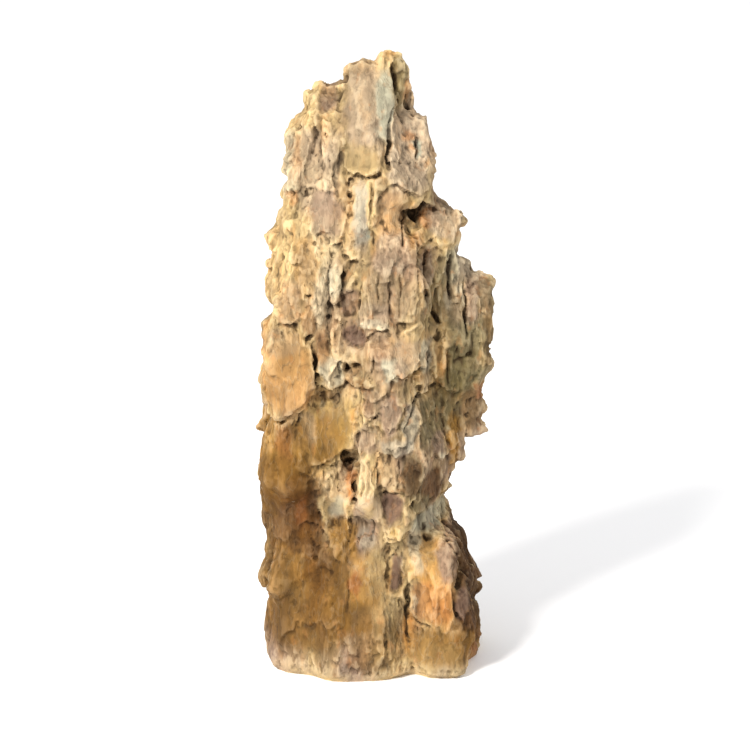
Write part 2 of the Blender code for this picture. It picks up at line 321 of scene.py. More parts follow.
# Lips: each line, drawn from left to right, stands out above and is undercut below:
# how far out, how deep below, how wide the undercut, then the line's points
LIPS = {
    "apron": (0.8, 3.4, 2, (-14.6, 235), (-14.8, 243), (-12.6, 247), (-9, 248.4), (-4, 247.4), (-0.5, 249)),
    "arch": (1, 3.4, 2, (0.4, 238), (2, 241.5), (5.5, 243.6), (9, 243.4), (12, 240.8), (16, 237)),
    "horn": (1.4, 4.5, 4, (12, 229), (15, 233), (20, 233.5), (25, 232), (28, 229)),
    "left_shelf": (0.8, 1.6, 1.6, (-36, 240), (-30, 241), (-22, 239.5)),
    "left_rim": (1, 2.2, 2, (-47.5, 177), (-44, 178.5), (-39, 177.5), (-37.5, 171)),
    "cream_curl": (1.4, 1.6, 1.8, (18, 212), (21, 215), (26, 214.5), (30, 210)),
    "ledge": (1.4, 3, 2, (-14, 168.4), (-9, 168.5), (-5, 172), (0, 175), (4.2, 176.3), (5.6, 173)),
    "diagonal": (1.6, 1.4, 1.6, (-20, 186), (-16, 191), (-10, 199)),
    "golden_plate": (0.6, 2.2, 2, (-52, 132), (-48, 131), (-44, 131.5), (-38, 137), (-32, 145)),
    "short_ledge": (0.8, 2.6, 1.6, (-16, 148.5), (-10, 147.6), (-3, 147.4)),
    "wedge": (0.6, 5, 2.6, (9, 153.4), (12, 152.4), (16, 153.4), (20, 154.6)),
    "pale_knobs": (0.8, 2, 1.6, (-28, 147), (-23, 145.5), (-18, 146.4), (-16.5, 149)),
    "knob": (0.8, 2.6, 2.2, (18, 141.5), (21, 142), (25, 141.5), (28, 144)),
    "crack": (0.8, 1.6, 1.4, (-10.5, 123.5), (-7, 128), (-3, 131.4), (-0.5, 134)),
    "tooth": (0.8, 2.6, 2, (27, 110), (30, 108.4), (34, 109)),
    "ribs": (0.8, 2.4, 2, (1.5, 95), (6, 95.6), (13, 95.5)),
    "yellow_plate": (0.6, 1.6, 2, (-38, 106), (-33, 103), (-27, 108), (-22, 112), (-17, 113)),
    "yellow_ledge": (1, 1.6, 1.6, (5.5, 61.5), (8, 66), (12, 71), (16, 76)),
    "foot_crack": (0.6, 1.8, 1.4, (-16.6, 60), (-14.6, 65.4), (-10, 70.2), (-9, 73)),
}

# Cracks and ridges: depth (negative) or height, half width, then the line's points
CREASES = {
    "crown_edge": (-3, 1.3, (4.6, 251), (4.8, 260), (5.8, 270), (7.4, 276.5), (10.5, 279.5)),
    "crown_back": (-2.4, 1.3, (9.4, 281), (9, 288), (7.6, 296)),
    "horn_slot": (-2, 1, (18.2, 253), (18.4, 262)),
    "pillar_right": (-1.4, 0.9, (-3.6, 228), (-2.8, 236), (-3.2, 244)),
    "bay_right": (-2.4, 1, (11.4, 214), (11.6, 222), (12.4, 228)),
    "slot": (-1.4, 1, (-2.6, 214), (-2.4, 220)),
    "flank": (-2.6, 1.6, (23, 209), (22.8, 198), (23.6, 188), (27, 178), (31, 172)),
    "middle_ridge": (1.2, 1.3, (-4.4, 192), (-4, 186), (-3.6, 180)),
    "middle_groove": (-1.3, 1, (5, 198), (5.4, 189), (5, 180)),
    "middle_groove_left": (-1.1, 0.9, (-0.8, 203), (-0.4, 196), (0.4, 187)),
    "middle_groove_right": (-1.1, 0.9, (10.4, 203), (10.2, 192), (9.6, 181)),
    "right_diagonal": (1.4, 1.3, (11, 172), (15, 174.4), (19, 177.4)),
    "lobe_left": (-2, 1.2, (34.2, 208), (34.4, 196), (35, 184)),
    "lobe_middle": (-2.4, 1.2, (42.4, 193), (42.6, 180), (42.8, 166)),
    "lobe_rib": (1.4, 1.8, (38.4, 199), (38.2, 188), (37.6, 182)),
    "lobe_rib_right": (1.2, 1.8, (47.4, 193), (47.2, 180), (46.6, 168)),
    "lobe_low": (-2.2, 1.6, (34, 160), (34.5, 150), (35.5, 142)),
    "golden_edge": (-3, 1.3, (-31.6, 168), (-29.4, 160), (-29, 152), (-28.8, 145)),
    "golden_lobe": (-1.4, 1, (-33, 137.5), (-37, 133), (-39, 127)),
    "grey_groove": (-2.2, 1.3, (20, 144), (17.4, 139), (15.8, 133), (12, 126)),
    "column_crack": (-1.6, 0.9, (-23.6, 186), (-23.8, 196), (-22.5, 207)),
    "column_crack_right": (-1.6, 0.9, (-17.2, 188), (-17, 198), (-16, 205)),
    "mid_crack": (-1.4, 0.9, (-9.4, 184), (-9.6, 192), (-8.6, 197)),
    "knob_ridge": (1.6, 1.2, (-24.4, 151), (-21.6, 156), (-18.6, 161)),
    "knob_ridge_low": (1.2, 1, (-24.2, 151), (-23, 146.5)),
    "ring_crack": (-1.4, 0.8, (-2.4, 163), (-2.6, 157), (-4.6, 153)),
    "panel_crack": (-1, 0.8, (-8.6, 146), (-8.8, 136), (-7.8, 130)),
    "rib_crack": (-1.2, 0.8, (-0.4, 111), (-0.6, 103), (-0.2, 96)),
    "rib_crack_right": (-1.2, 0.8, (9.8, 112), (9.6, 103), (9.2, 97)),
    "rib_ridge": (1.2, 1.2, (-6, 112), (-6.2, 102), (-7.4, 92)),
    "slit": (-3.6, 1.5, (-11.4, 102), (-11.2, 96), (-12, 89.5)),
    "foot_groove": (-2.4, 1.6, (14.2, 46), (13.8, 36), (14, 28), (15, 19)),
    "foot_side": (-2.6, 1.5, (36.6, 49), (36.4, 42), (38.4, 33), (41, 29)),
    "foot_rear": (-2.4, 1.4, (31.5, 77), (33.5, 69), (39, 62), (40.6, 52)),
    "foot_seam": (-1.4, 1, (4.6, 60), (4.2, 52), (5, 45)),
    "foot_rib": (1, 1.4, (18.6, 43), (17.4, 34), (17, 30)),
    "foot_drip": (1.2, 1.3, (17.4, 43), (16.6, 37), (17.8, 31)),
    "foot_notch": (-1.8, 1.4, (16.4, 30), (20, 26.4), (25, 26)),
    "flank_dark": (-2.4, 2, (36.8, 57), (37.6, 50), (39.4, 44)),
    "foot_rib_right": (0.9, 1.3, (28.4, 45), (27.6, 34), (28.4, 25)),
    "foot_fold": (-1.2, 1, (-15, 56), (-14.6, 46), (-16, 36)),
}

# Pits: across, up, half width, half height, depth
PITS = {
    "cave": (17.5, 228.5, 6, 4.6, 6),
    "cave_floor": (16, 222.5, 4.4, 5, 3.6),
    "shoulder_dimple": (-37.5, 267.5, 2.6, 2.6, 2.4),
    "shoulder_dimple_right": (-28.8, 267, 1.6, 4, 1.6),
    "left_dimple": (-40.5, 237.5, 1.6, 2, 2.2),
    "left_dimple_right": (-35.5, 237, 1.6, 2.2, 1.6),
    "panel_dimple": (-28.4, 219.6, 1.8, 2.2, 1.8),
    "knob_hole": (-14.8, 209.4, 2, 1.6, 3),
    "knob_hole_left": (-21.6, 209, 1.2, 2.2, 2.4),
    "gold_hole": (-33.4, 191.6, 2, 1.5, 3),
    "gold_hole_upper": (-38.8, 213, 1.4, 2, 1.6),
    "gold_hole_middle": (-35.5, 204.6, 2.4, 1, 1.4),
    "corner_hole": (-32.6, 170.6, 2.2, 1.8, 3.4),
    "knob_pit": (-15.4, 156, 1.4, 3, 3),
    "knob_pit_right": (-11, 157.6, 2, 1.8, 3),
    "tail_notch": (-46, 130.2, 3, 1.8, 3.6),
    "panel_hole": (-1.6, 132.4, 1.4, 1.2, 2.6),
    "groove_hole": (20.2, 144.4, 1.4, 1.6, 3),
    "side_hole": (25.8, 143, 1.2, 2.4, 3),
    "strip_hole": (-23.6, 179, 1.8, 1.6, 2.2),
    "strip_hole_right": (-20, 177.4, 1.8, 1, 2),
    "hole_foot": (-14.4, 106.6, 1.8, 3, 4),
    "hole_top_left": (-15.8, 110.6, 1.8, 1.8, 3.4),
    "hole_top_right": (-10.4, 110.8, 1.6, 1.8, 3.4),
    "crest_hollow": (23.6, 69, 3, 2.6, 1.6),
    "foot_gap": (39.5, 51, 2.2, 6.5, 4),
    "foot_nook": (-30, 61.5, 1.6, 1.8, 2.2),
    "lobe_hole": (43.5, 158, 2.4, 2, 2.6),
    "lobe_hole_low": (43, 124, 1.6, 1.4, 2.4),
    "lobe_nook": (37.6, 181.6, 2, 1.2, 2.2),
}

# Tints of the rock; umber and brown also paint shade, and cream paints highlight on crests
ALBEDO_SHARE = 0.46  # what the rock reflects, over how bright it looks in the bright studio


def srgb(red, green, blue):
    """A linear colour for the rock, from how it looks on the screen in values up to 255."""
    return *(ALBEDO_SHARE * ((c / 255 + 0.055) / 1.055) ** 2.4 for c in (red, green, blue)), 1.0


CREAM = srgb(244, 228, 192)
GOLD = srgb(238, 204, 144)
AMBER = srgb(224, 166, 96)
MUSTARD = srgb(196, 156, 86)
TAN = srgb(206, 172, 130)
PEACH = srgb(220, 174, 130)
MAUVE = srgb(176, 146, 124)
PLUM = srgb(138, 108, 92)
RUST = srgb(176, 106, 56)
ORANGE = srgb(226, 150, 82)
ROSE = srgb(226, 198, 164)
HONEY = srgb(214, 160, 84)
OCHRE = srgb(186, 136, 62)
BRONZE = srgb(144, 102, 44)
BROWN = srgb(114, 72, 26)
UMBER = srgb(98, 66, 38)
OLIVE = srgb(152, 138, 100)
MOSS = srgb(112, 100, 64)
SAGE = srgb(214, 209, 180)
GREY = srgb(192, 182, 160)
TEAL = srgb(146, 162, 148)

MIX_INPUTS, MIX_OUTPUT = (0, 6, 7), 2  # a Mix node's sockets for the share and for colours

# The material's noises: how much the height counts, where they start, their scale per metre, detail,
# roughness and distortion
NOISES = {
    "fibres": (0.24, (0, 0, 0), 380, 6, 0.68, 0.4),
    "ridges": (0.36, (0, 0, 0), 190, 2, 0.55, 0),
    "grain": (0.5, (0, 0, 0), 1000, 4, 0.65, 0),
    "patches": (0.6, (0, 0, 0), 26, 4, 0.55, 0),
    "streaks": (0.3, (5, 2, 1), 120, 4, 0.6, 0),
    "spots": (0.7, (3, 1, 2), 190, 3, 0.55, 0),
    "flecks": (0.7, (1, 7, 4), 420, 3, 0.55, 0),
    "mottle": (0.6, (2, 5, 3), 75, 3, 0.55, 0),
}
RIDGE_WIDTH = 0.035  # how far from its middle the ridges' noise still makes one
CALM_CONTRAST = 0.7  # how much of the paint's contrast a wholly calm place would lose
CREST_WEIGHTS = (0.6, 0.25)  # how much the near and the wide relief make a crest, and a hollow
HOLLOW_WEIGHTS = (-0.4, -0.4)
# The rock's own tints, at values of the patches' noise
BASE_TINTS = ((0.34, MAUVE), (0.44, TAN), (0.54, GOLD), (0.62, AMBER), (0.7, RUST))
# Tints laid over the base, in this order: tint, what it follows, and its share at two values of that
OVERLAYS = (
    (MAUVE, "streaks", (0.36, 0.22), (0.48, 0.0)),
    (AMBER, "streaks", (0.54, 0.0), (0.66, 0.25)),
    (ORANGE, "spots", (0.6, 0.0), (0.7, 0.35)),
    # Cream on the crests: partly the pale rock, partly painted highlight
    (CREAM, "crest", (0.2, 0.0), (0.9, 0.2)),
)
PALE = (0.04, 0.18, 0.2, 1.0)  # how much it takes of them: two values of its lightness, and the shares
RIDGE_SHARE = 0.15  # how much cream the ridges take
# Umber in the hollows: partly the brown clay there, partly painted shade
HOLLOW_SHARES = ((0.3, 0.0), (1.0, 0.7))  # the share of umber at two depths of hollow
# What makes it lighter or darker: two values of each measure, and the factors there
LIGHTNESS = {
    "plate_tone": (0.1, 0.9, 0.72, 1.2),
    "fibres": (0.34, 0.68, 0.8, 1.16),
    "flecks": (0.58, 0.7, 1.0, 0.75),
    # Painted highlight: crests and fine edges made lighter
    "crest": (0.1, 1.1, 1.0, 1.35),
    "fine_painted_highlight": (0.2, 1.0, 1.0, 1.15),
    "calm_streaks": (0.36, 0.64, 0.82, 1.12),
    # Painted shade: hollows and fine crevices made darker
    "hollow": (0.5, 1.4, 1.0, 0.45),
    "fine_painted_shade": (-2.0, -0.8, 0.7, 1.0),
    "mottle": (0.32, 0.68, 0.87, 1.12),
}
LIGHTEST = 1.45  # the most that all of them make together
BUMP_WEIGHTS = (1.4, 0.35, 0.5)  # of the fibres, ridges and grain
BUMP_STRENGTH, BUMP_HEIGHT = 0.8, 0.6 * MM
ROUGHNESS = ((0.3, 0.7), (0.7, 0.92))  # at two values of the fibres
SPECULAR = 0.1

# Patches of tint on the show face, in millimetres, laid over one another in this order:
# tint, across, up, half width, half height, strength
# Most are the rock's own colours; the dark ones marked below are painted shade
PATCHES = (
    (GOLD, -40, 208, 16, 40, 0.85), (ROSE, -28, 248, 12, 22, 0.7), (CREAM, -27, 203, 8, 26, 0.35),
    (CREAM, -43, 250, 5, 16, 0.7), (MAUVE, -24, 229, 8, 12, 0.7), (AMBER, -34, 203, 6, 16, 0.5),
    (GOLD, -30, 184, 7, 12, 0.5), (PEACH, -42, 186, 6, 12, 0.6), (AMBER, -33, 180, 3.5, 9, 0.6),
    (PEACH, -28, 183, 8, 13, 0.5), (CREAM, -27, 188, 4, 14, 0.5), (AMBER, -33, 276, 3, 8, 0.5),
    (AMBER, -25, 267, 3, 7, 0.4), (ORANGE, -38, 255, 2.5, 8, 0.35), (ORANGE, -40, 236, 3, 4, 0.5),
    (ROSE, -6, 276, 9, 22, 0.8), (TAN, -8, 297, 9, 6, 0.8), (AMBER, 5, 301, 5, 4, 0.35),
    (ROSE, 20, 280, 8, 16, 0.5), (SAGE, 3.6, 279, 4.4, 17, 0.9), (OLIVE, 11.5, 287, 4.5, 14, 0.65),
    (MOSS, 9, 290, 2, 10, 0.5), (ORANGE, 14.5, 283, 1.6, 8, 0.4), (PLUM, -23, 282, 5, 7, 0.7),
    (GOLD, -33, 279, 5, 10, 0.9), (GOLD, -8, 254, 9, 8, 0.8), (ROSE, 15, 256, 11, 20, 0.95),
    (ORANGE, 15, 263, 3, 3, 0.55), (TEAL, 18.4, 257, 1.4, 5, 0.7), (TAN, -13, 232, 3.5, 14, 0.6),
    (GREY, -8, 229, 3.6, 17, 0.9), (TEAL, -5, 220, 2.2, 3, 0.5), (PEACH, 6, 228, 8, 13, 0.6),
    # painted shade: umber in the cave at (16, 226)
    (ROSE, 6, 211, 9, 10, 0.75), (UMBER, 16, 226, 6, 7, 0.6), (ORANGE, 24, 224, 5, 5, 0.8),
    (ROSE, 33, 221, 9, 8, 0.8), (TAN, 16, 207, 6, 9, 0.6), (MAUVE, 6, 196, 14, 18, 0.45),
    (CREAM, -20.5, 196, 3, 9, 0.7), (PLUM, -14, 188, 5, 7, 0.7), (ROSE, -3, 182, 8, 6, 0.5),
    (OLIVE, 46, 168, 13, 34, 0.85), (SAGE, 41, 201, 8, 11, 0.75), (TAN, 45, 184, 10, 12, 0.65),
    (ROSE, 47, 201, 10, 11, 0.7), (TAN, 32, 184, 4, 10, 0.4), (MOSS, 27, 184, 6, 15, 0.5),
    (MAUVE, 23, 203, 4, 9, 0.7), (OLIVE, 33, 200, 5, 10, 0.6), (CREAM, 33.5, 183, 2, 6, 0.5),
    (CREAM, 41, 186, 1.6, 6, 0.5), (MAUVE, 45.5, 181, 2.6, 11, 0.7), (UMBER, 54, 168, 2.6, 22, 0.6),
    # painted shade: umber in the pit at (43, 159)
    (UMBER, 43, 159, 4, 4, 0.6), (TAN, 46, 152, 4, 4, 0.5), (MOSS, 40, 150, 9, 14, 0.7),
    (UMBER, 46, 128, 6, 12, 0.7), (RUST, 50.5, 137, 2, 5, 0.6), (PLUM, -11.5, 171.5, 6, 4, 0.8),
    (CREAM, -2, 177, 8, 2, 0.7), (PEACH, 0, 166, 6, 5, 0.6), (AMBER, -43, 151, 14, 20, 0.75),
    (TAN, -46, 167, 10, 7, 0.6), (RUST, -27, 163, 3.5, 9, 0.5), (CREAM, -22, 153, 5.4, 7, 0.85),
    # painted shade: umber in the pits at (-12.5, 156), and brown under the ledge's lip at (-10, 148)
    (UMBER, -12.5, 156, 4, 4, 0.6), (BROWN, -10, 148, 8, 3, 0.6), (SAGE, 4.5, 156, 3.6, 7, 0.7),
    # painted shadow: brown in the wedge-shaped crack at (13, 151.6)
    (ROSE, 14, 162, 7, 8, 0.6), (BROWN, 13, 151.6, 5, 1.6, 0.7), (CREAM, 23, 159, 3.4, 9, 0.85),
    (TAN, 23, 147, 4.5, 4.5, 0.6), (MOSS, 34, 134, 7, 18, 0.75), (MAUVE, 5, 134, 5, 11, 0.8),
    (MAUVE, -3, 139, 5, 9, 0.6), (RUST, 13.4, 136, 2, 4, 0.6), (BROWN, -26, 141, 6, 4.5, 0.7),
    (GREY, -27, 135, 2, 2.6, 0.6), (MUSTARD, -26, 122, 15, 16, 0.7), (OCHRE, -24, 121, 9, 11, 0.5),
    (TAN, -34, 126, 5, 9, 0.7), (MUSTARD, -15.5, 131, 4, 10, 0.5), (BRONZE, -25, 112, 6, 4, 0.5),
    (MAUVE, -6, 121, 5, 8, 0.6), (GREY, 15, 128, 4, 12, 0.7), (GREY, 8, 118, 9, 4, 0.6),
    (OLIVE, 24, 128, 5, 11, 0.7), (OCHRE, 37, 113, 3, 14, 0.9), (MAUVE, 29.4, 116, 3.4, 5, 0.7),
    (CREAM, 31.5, 110.6, 2, 2, 0.7), (OCHRE, -46, 114, 14, 18, 0.9), (RUST, -45, 117, 4.4, 12, 0.5),
    # The brown and bronze patches low on the left, on this line and the next three, are partly the rock's
    # brown and partly painted shade from stones that stand beside it
    (BRONZE, -46, 100, 16, 14, 0.9), (BROWN, -46, 78, 17, 18, 0.85), (BROWN, -38, 96, 6, 9, 0.6),
    (BRONZE, -52, 88, 5, 12, 0.6), (BROWN, -33, 80, 9, 16, 0.85), (RUST, -37, 84, 3, 9, 0.4),
    (UMBER, -30, 97, 4, 6, 0.6), (BRONZE, -40, 40, 24, 30, 0.9), (BROWN, -28, 56, 8, 12, 0.7),
    # painted shadow: umber in the gap at (-36, 66)
    (BROWN, -29, 34, 9, 12, 0.4), (UMBER, -36, 66, 8, 4, 0.6), (TAN, -21, 98, 6, 8, 0.5),
    # painted shade: umber in the hole at (-13, 107)
    (UMBER, -13, 107, 4, 5, 0.6), (RUST, -13, 102, 2.4, 4, 0.7), (ORANGE, -13.8, 95, 1.8, 4, 0.9),
    (GOLD, -14, 86, 2.4, 6, 0.8), (CREAM, -6.6, 103, 2.6, 9, 0.35), (ROSE, -4.6, 87, 7, 8, 0.6),
    (GOLD, -5, 85, 2.4, 4, 0.6), (TAN, 4, 105, 6, 8, 0.7), (MOSS, 16.5, 103, 5, 13, 0.6),
    (UMBER, 16.5, 103, 3.6, 10, 0.7), (UMBER, 26, 93, 6, 10, 0.85), (OLIVE, 20, 84, 6, 7, 0.6),
    (GOLD, -26.4, 85, 3, 8, 0.8), (SAGE, -20, 87, 3.8, 6, 0.6), (GOLD, -21, 104, 3, 9, 0.5),
    (PLUM, 7, 87, 5.4, 8, 0.9), (GREY, -6, 73, 5, 5, 0.5), (OCHRE, -17, 70, 7, 11, 0.9),
    (BRONZE, -19, 42, 7, 22, 0.85), (HONEY, -6, 52, 9, 14, 0.85), (GOLD, 0, 56, 5.5, 12, 0.7),
    (BRONZE, -10, 33, 9, 8, 0.85), (OCHRE, -10, 45, 6, 7, 0.7), (RUST, -11.6, 51, 2.6, 7, 0.75),
    (GOLD, 7, 73, 7, 7, 0.7), (MUSTARD, 7, 76, 3, 3, 0.7), (PLUM, 8.4, 53, 3.2, 10.5, 0.9),
    (GOLD, 7.5, 34, 5, 10, 0.6), (HONEY, 26, 58, 11, 11, 0.7), (MAUVE, 34, 60, 6, 12, 0.85),
    # painted shade: umber in the hollow at (25, 68)
    (CREAM, 18, 66, 3, 13, 0.6), (SAGE, 25, 77, 10, 5, 0.7), (UMBER, 25, 68, 3, 4, 0.5),
    (ORANGE, 26, 39, 10, 11, 0.6), (CREAM, 17.4, 38, 1.4, 5, 0.5), (UMBER, 41, 60, 5, 40, 0.8),
    (UMBER, 48, 48, 9, 44, 0.95), (PLUM, 40.5, 38, 3.4, 8, 0.7), (OCHRE, 31, 16, 18, 10, 0.7),
    (BRONZE, -2, 18, 14, 14, 0.6),
)


def rows(items, name, width, kind=np.float32):
    """A property of the items of a mesh, one item in each row."""
    flat = np.empty(len(items) * width, kind)
    items.foreach_get(name, flat)
    return flat.reshape(-1, width)


def mesh_points(mesh):
    return rows(mesh.vertices, "co", 3).astype(float)


def mesh_normals(mesh):
    return rows(mesh.vertex_normals, "vector", 3).astype(float)


def mesh_edges(mesh):
    return rows(mesh.edges, "vertices", 2, np.int32)


def move_points(mesh, points):
    mesh.vertices.foreach_set("co", points.astype(np.float32).ravel())
    mesh.update()


def camera_place():
    """Where the photograph was taken from."""
    forward = Vector((0, math.cos(VIEW_DOWN), -math.sin(VIEW_DOWN)))
    upward = Vector((0, math.sin(VIEW_DOWN), math.cos(VIEW_DOWN)))
    right = Vector((1, 0, 0))
    middle = FRAME_PX / 2
    looked_at = right * (middle - FOOT_PX[0]) / PX_PER_M + upward * (FOOT_PX[1] - middle) / PX_PER_M
    return looked_at - forward * PHOTO_LENS_PX / PX_PER_M


def pulled(points):
    """The points, drawn sideways and up or down by the pulls, each acting all along its sight line."""
    eye = np.array(camera_place())
    for x, z, radius, rightwards, upwards in PULLS.values():
        nearness = eye[1] / (eye[1] - points[:, 1])
        seen = eye + (points - eye) * nearness[:, None]  # where the sight line meets the plane y = 0
        across, up = seen[:, 0] / MM - FACE_MIDDLE, seen[:, 2] / MM
        weight = np.clip(1 - ((across - x) ** 2 + (up - z) ** 2) / radius**2, 0, 1) ** 2
        points[:, 0] += MM * rightwards * weight
        points[:, 2] += MM * upwards * weight
    return points


def kept_in(points):
    """The points, held to a little past the sides of the CAD's box."""
    free = BOX_MARGIN / 2  # what lies further out is squeezed into the other half
    for axis in (0, 1):
        low, high = (corner[axis] for corner in cad_box)
        for edge, outwards in ((low, -1), (high, 1)):
            past = np.clip((points[:, axis] - edge) * outwards - free, 0, None)
            points[:, axis] -= outwards * (past - free * (1 - np.exp(-past / free)))
    return points


def new_object(name, data):
    made = bpy.data.objects.new(name, data)
    bpy.context.scene.collection.objects.link(made)
    return made


def modified(mesh, kind, **settings):
    """What a modifier of that kind makes of the mesh."""
    holder = new_object("holder", mesh)
    modifier = holder.modifiers.new("step", kind)
    for name, value in settings.items():
        setattr(modifier, name, value)
    graph = bpy.context.evaluated_depsgraph_get()
    result = bpy.data.meshes.new_from_object(holder.evaluated_get(graph))
    bpy.data.objects.remove(holder)
    return result


def remeshed(mesh, voxel):
    """The mesh's skin as even quads of about one voxel."""
    return modified(mesh, "REMESH", mode="VOXEL", voxel_size=voxel)


def lightened(mesh, triangles):
    """The mesh with its flatter parts simplified, down to that many triangles."""
    count = sum(len(face.vertices) - 2 for face in mesh.polygons)
    return modified(mesh, "DECIMATE", ratio=min(1.0, triangles / count), use_collapse_triangulate=True)


def drop_crumbs(mesh):
    """Deletes every part of the mesh that isn't joined to its largest part."""
    shape = bmesh.new()
    shape.from_mesh(mesh)
    unseen = set(shape.verts)
    parts = []
    while unseen:
        part = [unseen.pop()]
        for vertex in part:  # grows as its vertices' neighbours are found
            near = {edge.other_vert(vertex) for edge in vertex.link_edges} & unseen
            unseen -= near
            part.extend(near)
        parts.append(part)
    parts.sort(key=len)
    bmesh.ops.delete(shape, geom=list(itertools.chain(*parts[:-1])), context="VERTS")
    shape.to_mesh(mesh)
    shape.free()


def blurred(values, edges, rounds):
    """Values at the vertices, each averaged with its neighbours' again and again."""
    count = len(values)
    degree = np.bincount(edges.ravel(), minlength=count).astype(float)
    degree = np.maximum(degree, 1)
    for _ in range(rounds):
        total = np.zeros_like(values)
        np.add.at(total, edges[:, 0], values[edges[:, 1]])
        np.add.at(total, edges[:, 1], values[edges[:, 0]])
        mean = total / (degree[:, None] if values.ndim == 2 else degree)
        values = 0.5 * values + 0.5 * mean
    return values


def smoothstep(low, high, value):
    share = np.clip((value - low) / (high - low), 0, 1)
    return share * share * (3 - 2 * share)


def noise_at(points, size, stretch=1.0, seed=0.0):
    """Smooth noise at each point, about -0.5 to 0.5: size is its grain, drawn out upwards by stretch."""
    places = points / (size * np.array((1, 1, stretch))) + seed
    return np.array([noise.noise(Vector(place)) for place in places.tolist()])


def cell_random(cells, salt):
    """A number from -0.5 to 0.5 for each whole-number cell, the same in every run."""
    mixed = (cells.astype(np.int64) * np.array(HASH_PRIMES)).sum(-1) + salt * SALT_PRIME
    mixed = mixed.astype(np.uint32)
    for _ in range(2):
        mixed = (mixed ^ (mixed >> 16)) * np.uint32(HASH_MIXER)
    return (mixed ^ (mixed >> 16)) / 2**32 - 0.5


def nearest_cells(places, salt):
    """Each place's two nearest scattered middles, their cells, and how far it is from their border."""
    home = np.floor(places).astype(np.int64)
    best = [np.full(len(places), np.inf) for _ in range(2)]
    middles = [np.zeros_like(places) for _ in range(2)]
    owners = [home.copy() for _ in range(2)]
    for shift in itertools.product((-1, 0, 1), repeat=3):
        cells = home + shift
        stray = np.stack([cell_random(cells, salt * 10 + axis) for axis in range(3)], axis=-1)
        middle = cells + 0.5 + stray * JITTER
        gap = ((places - middle) ** 2).sum(1)
        first = gap < best[0]
        second = ~first & (gap < best[1])
        for store, found in ((best, gap), (middles, middle), (owners, cells)):
            store[1][first] = store[0][first]
            store[0][first] = found[first]
            store[1][second] = found[second]
    apart = np.sqrt(((middles[0] - middles[1]) ** 2).sum(1)) + TINY
    border = (best[1] - best[0]) / (2 * apart)
    return middles, owners, border


def stepped(own, other, reach, soft=0.0):
    """A plate's level near another: beaded if higher, undercut if not, and merged where soft is 1."""
    share = smoothstep(0, 1, reach / (STEP + SOFT_STEP * soft))
    rim = np.clip(1 - reach / RIM, 0, 1) ** RIM_ROUNDING
    rise = own - other
    edge = np.where(rise > 0, BEAD, UNDERCUT) * np.clip(rise, -MOST_RISE, MOST_RISE)
    return own - 0.5 * rise * (1 - share) + edge * rim * share * (1 - soft)


def scales(points, width, height, lean, offset, tip, salt):
    """The relief of upright scales, which lean out to their lower lips, and each place's tone."""
    size = np.array((width, width, height))
    places = points / size
    for axis, (far, grain, stretch, by_salt, by_axis) in itertools.product(range(3), STRAYS):
        places[:, axis] += far * noise_at(points, width * grain, stretch, salt * by_salt + axis * by_axis)
    middles, owners, border = nearest_cells(places, salt)
    apart = middles[0] - middles[1]
    apart /= np.linalg.norm(apart, axis=1)[:, None] + TINY
    reach = border / np.linalg.norm(apart / size, axis=1)
    levels = []
    for middle, owner in zip(middles, owners):
        gap = places - middle
        own_lean = lean * (1 + LEAN_SPREAD * cell_random(owner, salt + LEAN_SALT))
        tip_across = cell_random(owner, salt + TIP_SALT) * gap[:, 0]
        tip_back = cell_random(owner, salt + TIP_BACK_SALT) * gap[:, 1]
        level = 2 * offset * cell_random(owner, salt + OFFSET_SALT)
        level += own_lean * 2 * np.clip(-gap[:, 2], -0.5, 0.5)
        level += 2 * tip * (tip_across + tip_back)
        levels.append(level)
    return stepped(*levels, reach), cell_random(owners[0], salt + TONE_SALT)


def line_reach(across, up, line):
    """How far each place is from a line, on which side (1 above, -1 below), and the line's share there."""
    reach = np.full(len(across), np.inf)
    side = np.zeros(len(across))
    for (x0, z0), (x1, z1) in zip(line, line[1:]):
        dx, dz = x1 - x0, z1 - z0
        share = np.clip(((across - x0) * dx + (up - z0) * dz) / (dx * dx + dz * dz), 0, 1)
        ex, ez = across - x0 - share * dx, up - z0 - share * dz
        gap = np.hypot(ex, ez)
        side = np.where(gap < reach, dx * ez - dz * ex, side)
        reach = np.minimum(reach, gap)
    ends = np.minimum(*(np.hypot(across - x, up - z) for x, z in (line[0], line[-1])))
    return reach, np.sign(side), np.clip(END_SHARE + ends / END_LENGTH, 0, 1)


def wandered(points, amount):
    """Places on the show face, across and up in millimetres, that wander so that outlines are ragged."""
    places = []
    for axis, seed in WANDER_SEEDS:
        stray = sum(far * noise_at(points, size, seed=seed + more) for far, size, more in WANDERS)
        places.append(points[:, axis] / MM + amount * stray)
    return places[0] - FACE_MIDDLE, places[1]


def patch_reach(across, up, x, z, half_width, half_height, turn=0.0, power=3):
    """How far each place is from a rounded patch's middle, over its edge's distance, and how far up."""
    cos, sin = math.cos(math.radians(turn)), math.sin(math.radians(turn))
    u = ((across - x) * cos + (up - z) * sin) / half_width
    v = ((up - z) * cos - (across - x) * sin) / half_height
    return (np.abs(u) ** power + np.abs(v) ** power) ** (1 / power), v


def patch_share(across, up, x, z, half_width, half_height, edge, power=3):
    """The patch's share at each place: 1 in its middle, and fading to 0 over its edge."""
    reach, _ = patch_reach(across, up, x, z, half_width, half_height, power=power)
    return 1 - smoothstep(*edge, reach)


def show_face(normals, none, full):
    """How much a surface belongs to the show face, from 0 to 1 as its normal's Y goes from none to full."""
    return smoothstep(none, full, normals[:, 1])


